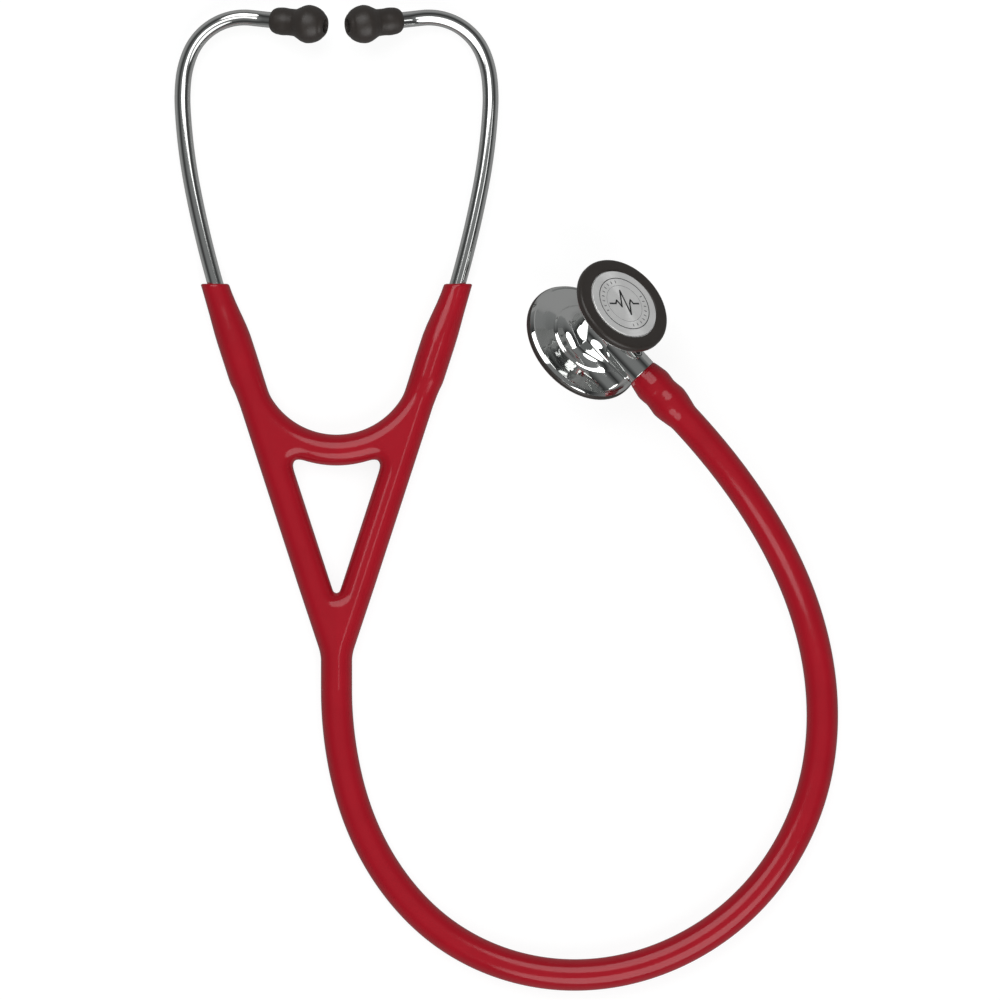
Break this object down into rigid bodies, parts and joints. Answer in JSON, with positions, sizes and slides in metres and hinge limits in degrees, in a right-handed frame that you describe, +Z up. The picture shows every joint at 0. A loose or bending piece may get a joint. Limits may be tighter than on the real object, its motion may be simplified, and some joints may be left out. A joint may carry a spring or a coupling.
{
  "type": "stethoscope",
  "caption": "Double-sided stethoscope lying flat: sprung headset, one-piece tubing with a yoke, and a chestpiece with a large and a small diaphragm that turns on its stem.",
  "frame": {"origin": "on the table, under the middle of the rigid pieces' bounding box, the free hose and its cuff left out", "axes": "+Z up from the table; +Y from the yoke's crotch toward the ear tips; +X toward the side the hose and chestpiece lie on"},
  "size_m": [0.2288, 0.3396, 0.048],
  "materials": {
    "red_vinyl": "glossy soft vinyl, burgundy red",
    "polished_steel": "mirror polished stainless steel",
    "spring_steel": "plain spring steel",
    "ear_tip_rubber": "soft satin silicone, warm dark grey",
    "rim_rubber": "satin rubber, warm dark grey",
    "black_seal": "matte black",
    "diaphragm": "circular brushed silver foil under clear resin"
  },
  "bodies": {
    "tubing": {"yoke": "red_vinyl", "hose": "red_vinyl", "hose_cuff": "red_vinyl", "headset_spring": "spring_steel", "stem": "polished_steel", "stem_snap_ring": "spring_steel", "stem_seal": "black_seal", "index_dot": "black_seal"},
    "left_headset": {"left_sleeve": "red_vinyl", "left_ear_tube": "polished_steel", "left_ear_tip": "ear_tip_rubber"},
    "right_headset": {"right_sleeve": "red_vinyl", "right_ear_tube": "polished_steel", "right_ear_tip": "ear_tip_rubber"},
    "chestpiece": {"chestpiece_body": "polished_steel", "detent_ball": "spring_steel", "detent_spring": "spring_steel", "detent_screw": "spring_steel", "large_rim": "rim_rubber", "small_rim": "rim_rubber"},
    "large_pickup": {"large_diaphragm": "diaphragm"},
    "small_pickup": {"small_diaphragm": "diaphragm"}
  },
  "joints": [
    {"name": "left_arm_spread", "type": "hinge", "parent": "tubing", "child": "left_headset", "pos_m": [-0.06147, -0.01364, 0.0059], "axis": [0, 0, 1], "range_deg": [-1, 33], "stiffness_Nm_per_rad": 0.9, "deforming": ["headset_spring"]},
    {"name": "right_arm_spread", "type": "hinge", "parent": "tubing", "child": "right_headset", "pos_m": [-0.00153, -0.01364, 0.0059], "axis": [0, 0, -1], "range_deg": [-1, 33], "stiffness_Nm_per_rad": 0.9},
    {"name": "chestpiece_swivel", "type": "hinge", "parent": "tubing", "child": "chestpiece", "pos_m": [0.0591, 0.0071, 0.02433], "axis": [0.682, -0.7314, 0], "continuous": true},
    {"name": "large_diaphragm_press", "type": "slide", "parent": "chestpiece", "child": "large_pickup", "axis": [0.5305, 0.4947, 0.6884], "range_m": [0, 0.0004], "stiffness_N_per_m": 2000},
    {"name": "small_diaphragm_press", "type": "slide", "parent": "chestpiece", "child": "small_pickup", "axis": [-0.5305, -0.4947, -0.6884], "range_m": [0, 0.0004], "stiffness_N_per_m": 2000}
  ],
  "couplings": [
    {"joint": "right_arm_spread", "follows": "left_arm_spread", "ratio": 1}
  ]
}
